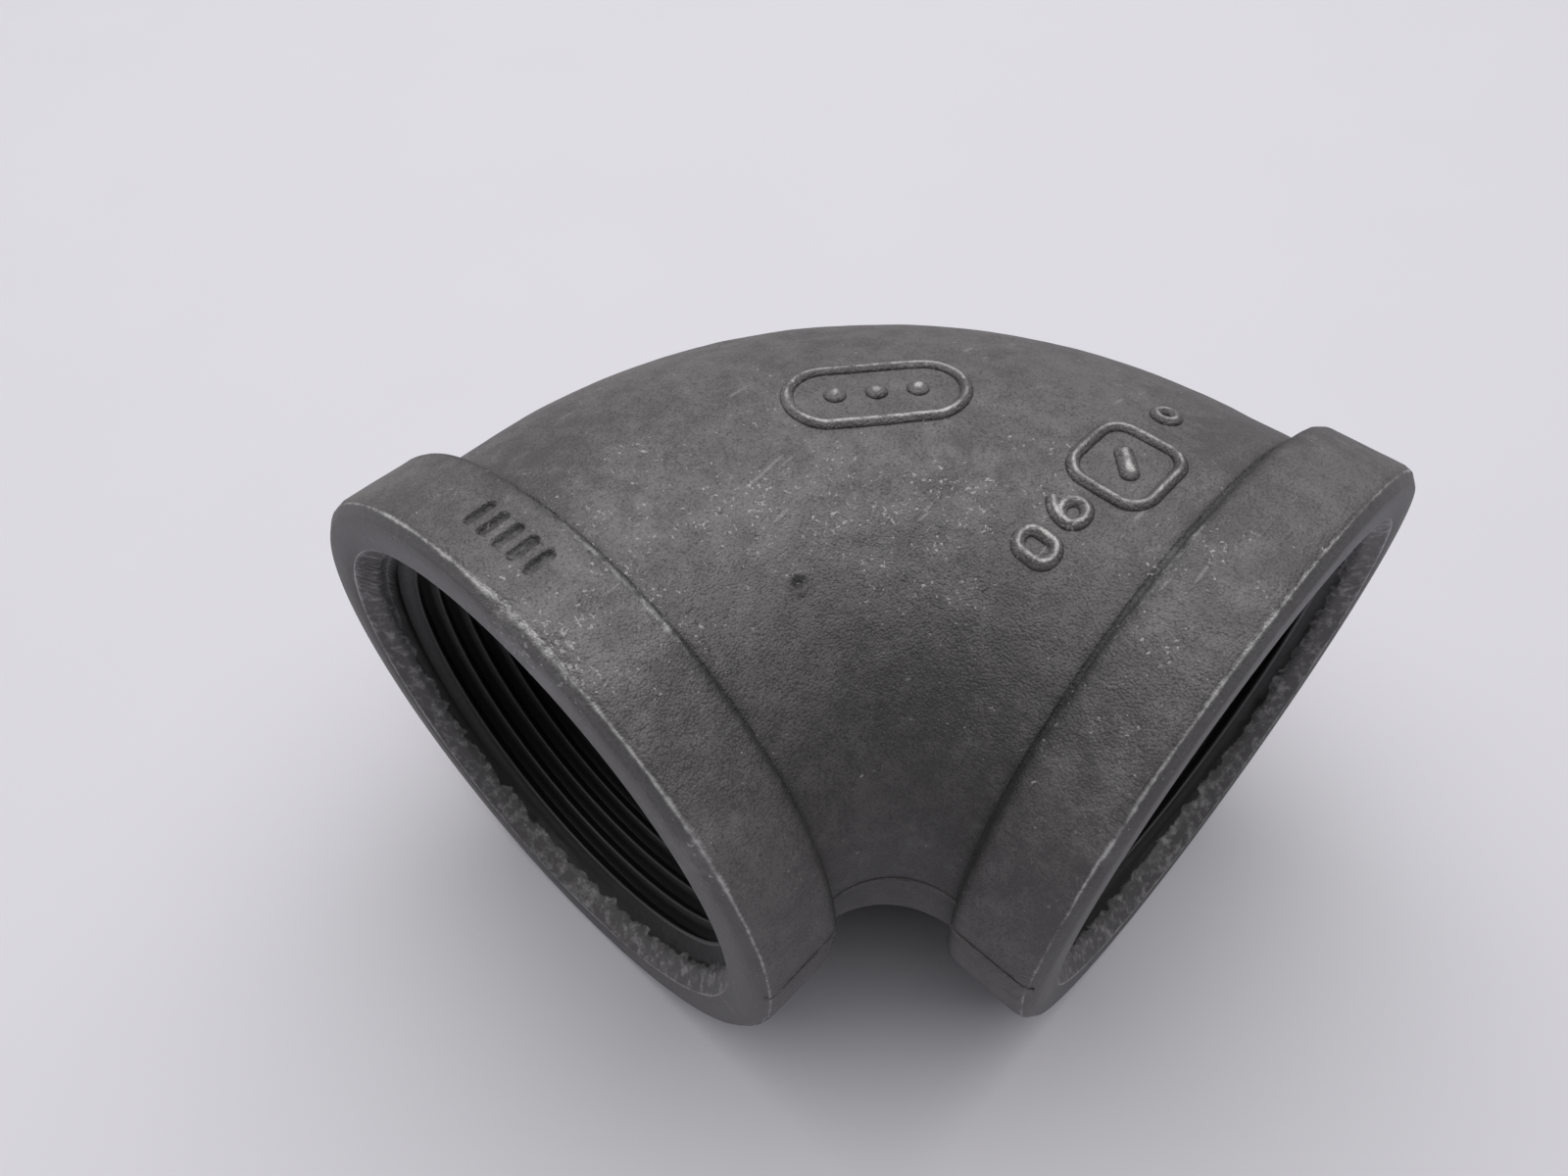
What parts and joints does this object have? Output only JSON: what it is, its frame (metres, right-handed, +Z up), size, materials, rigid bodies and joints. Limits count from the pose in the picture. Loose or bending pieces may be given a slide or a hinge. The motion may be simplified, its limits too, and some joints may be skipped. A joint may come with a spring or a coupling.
{
  "type": "pipe elbow",
  "caption": "90 degree cast pipe elbow with a reinforcing band and a female taper pipe thread at each end.",
  "frame": {"origin": "under the middle of the elbow's box, on the surface that it lies on", "axes": "+X out of port A, -Y out of port B, +Z up, square to both port axes"},
  "size_m": [0.1146, 0.1146, 0.0912],
  "materials": {
    "cast_iron_skin": "as-cast, dark grey oxide skin, matte",
    "worn_marks": "as-cast, rubbed brighter on top",
    "cut_iron": "machined and oiled"
  },
  "bodies": {
    "root": {"elbow_bend": "cast_iron_skin", "band_a": "cast_iron_skin", "band_b": "cast_iron_skin", "thread_a": "cut_iron", "thread_b": "cut_iron", "mould_line_back": "cast_iron_skin", "mould_line_crotch": "cast_iron_skin", "mark_cartouche": "worn_marks", "mark_badge": "worn_marks", "mark_badge_bar": "worn_marks", "mark_degree": "worn_marks", "mark_nine": "worn_marks", "mark_zero": "worn_marks", "mark_pip_1": "worn_marks", "mark_pip_2": "worn_marks", "mark_pip_3": "worn_marks"}
  },
  "joints": []
}
